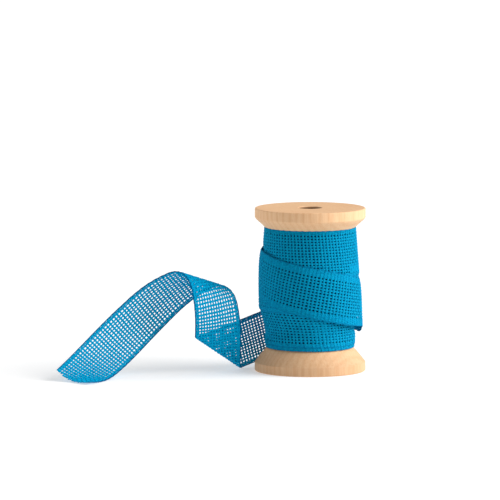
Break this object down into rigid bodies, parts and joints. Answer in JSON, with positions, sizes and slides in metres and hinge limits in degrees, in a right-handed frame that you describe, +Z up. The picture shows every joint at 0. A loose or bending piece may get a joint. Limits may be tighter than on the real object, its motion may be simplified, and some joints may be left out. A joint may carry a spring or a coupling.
{
  "type": "roll of cotton ribbon on a wooden spool",
  "caption": "Upright turned wooden spool wound with open-weave cotton ribbon, its loose end folding and curling out over the table.",
  "frame": {"origin": "centre of the whole part's box, on the table that the spool and the loose end stand on", "axes": "+X along the longest side, towards the spool; +Z up the spool's axis, out of its top face; the loose end curls away towards -X and comes forward to -Y"},
  "size_m": [0.1276, 0.0736, 0.068],
  "materials": {
    "spool": "fine sanded, unvarnished",
    "ribbon_winding": "open plain weave, matt",
    "ribbon_tail": "open plain weave, matt"
  },
  "bodies": {
    "root": {"spool": "spool", "ribbon_winding": "ribbon_winding", "ribbon_tail": "ribbon_tail"}
  },
  "joints": []
}
